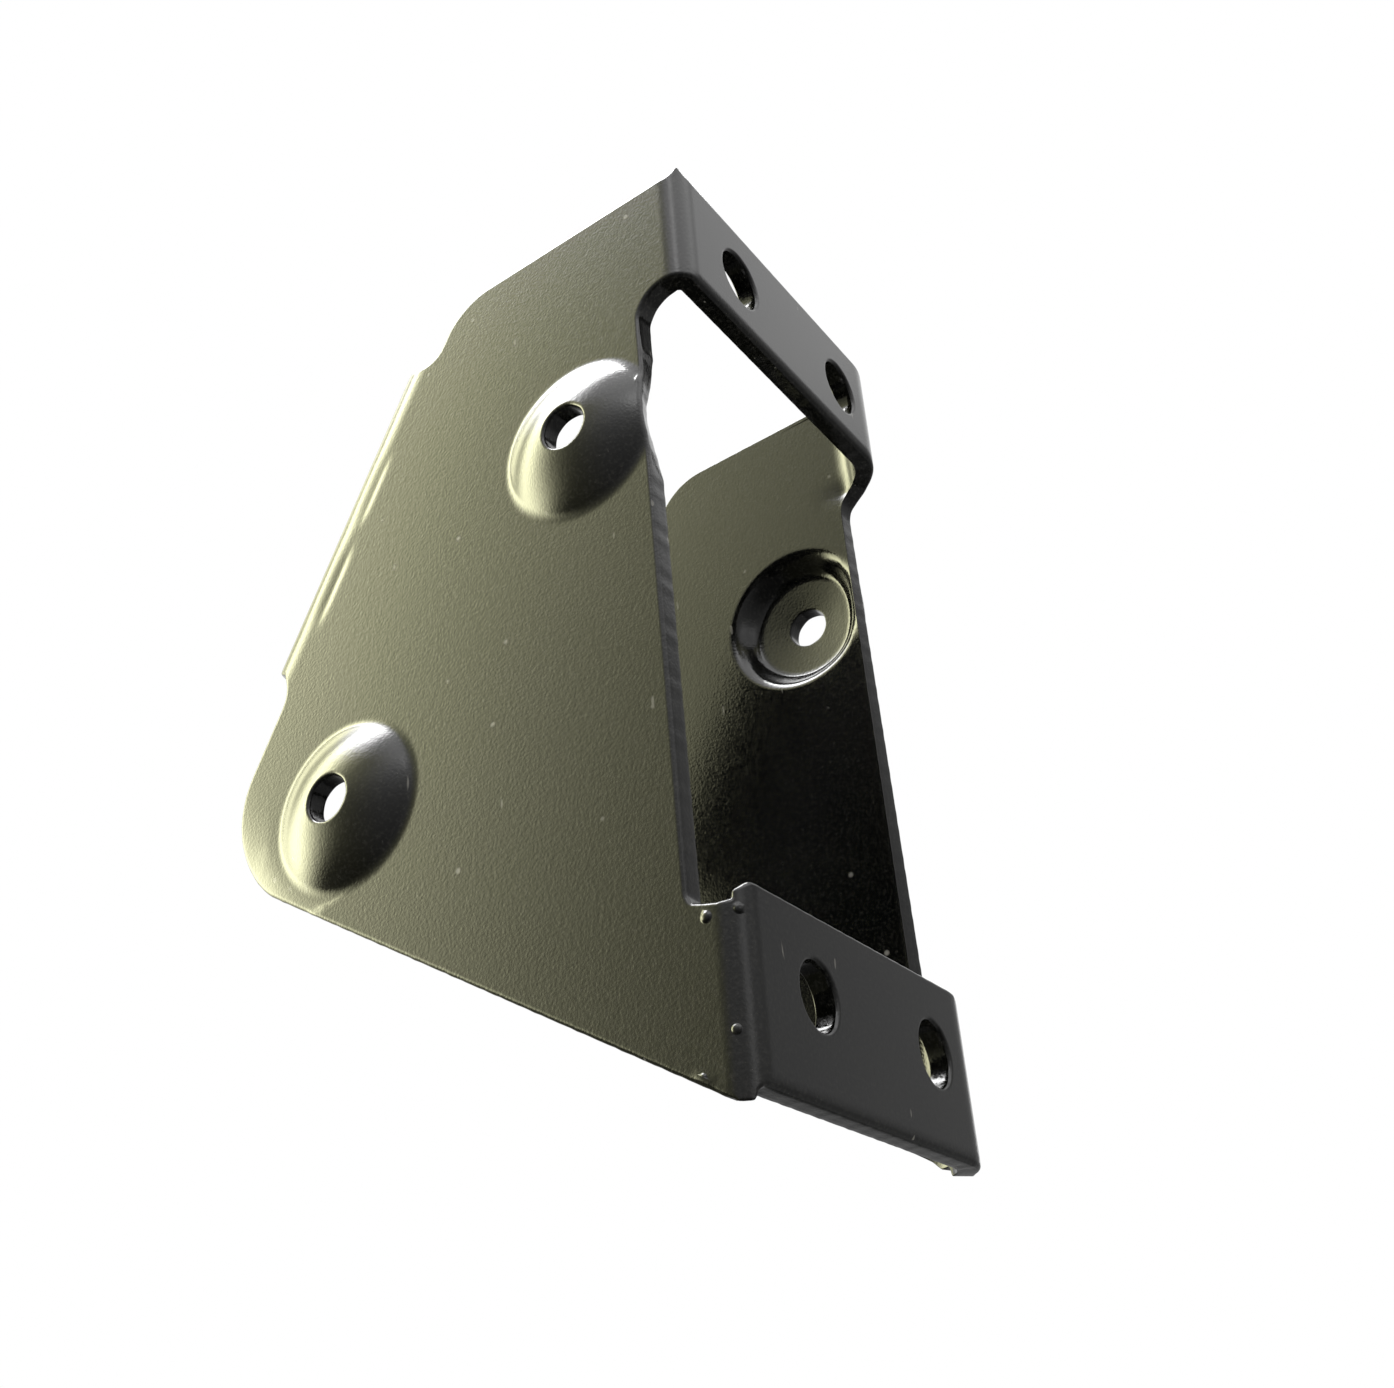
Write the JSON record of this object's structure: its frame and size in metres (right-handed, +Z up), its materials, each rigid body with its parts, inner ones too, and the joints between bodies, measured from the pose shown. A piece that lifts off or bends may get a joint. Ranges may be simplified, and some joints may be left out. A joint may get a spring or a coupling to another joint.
{
  "type": "stamped metal bracket",
  "caption": "Folded sheet-metal channel bracket with an open window in its bolted front web, domed screw seats in both side walls and inward flanges on their backs.",
  "frame": {"origin": "centre of the four-hole rectangle, on the outer face of the front web", "axes": "+X across the web, +Y from the web towards the back flanges, +Z up the web towards the narrower strip"},
  "size_m": [0.0552, 0.065, 0.1087],
  "materials": {
    "paint": "gloss"
  },
  "bodies": {
    "root": {"bracket": "paint"}
  },
  "joints": []
}
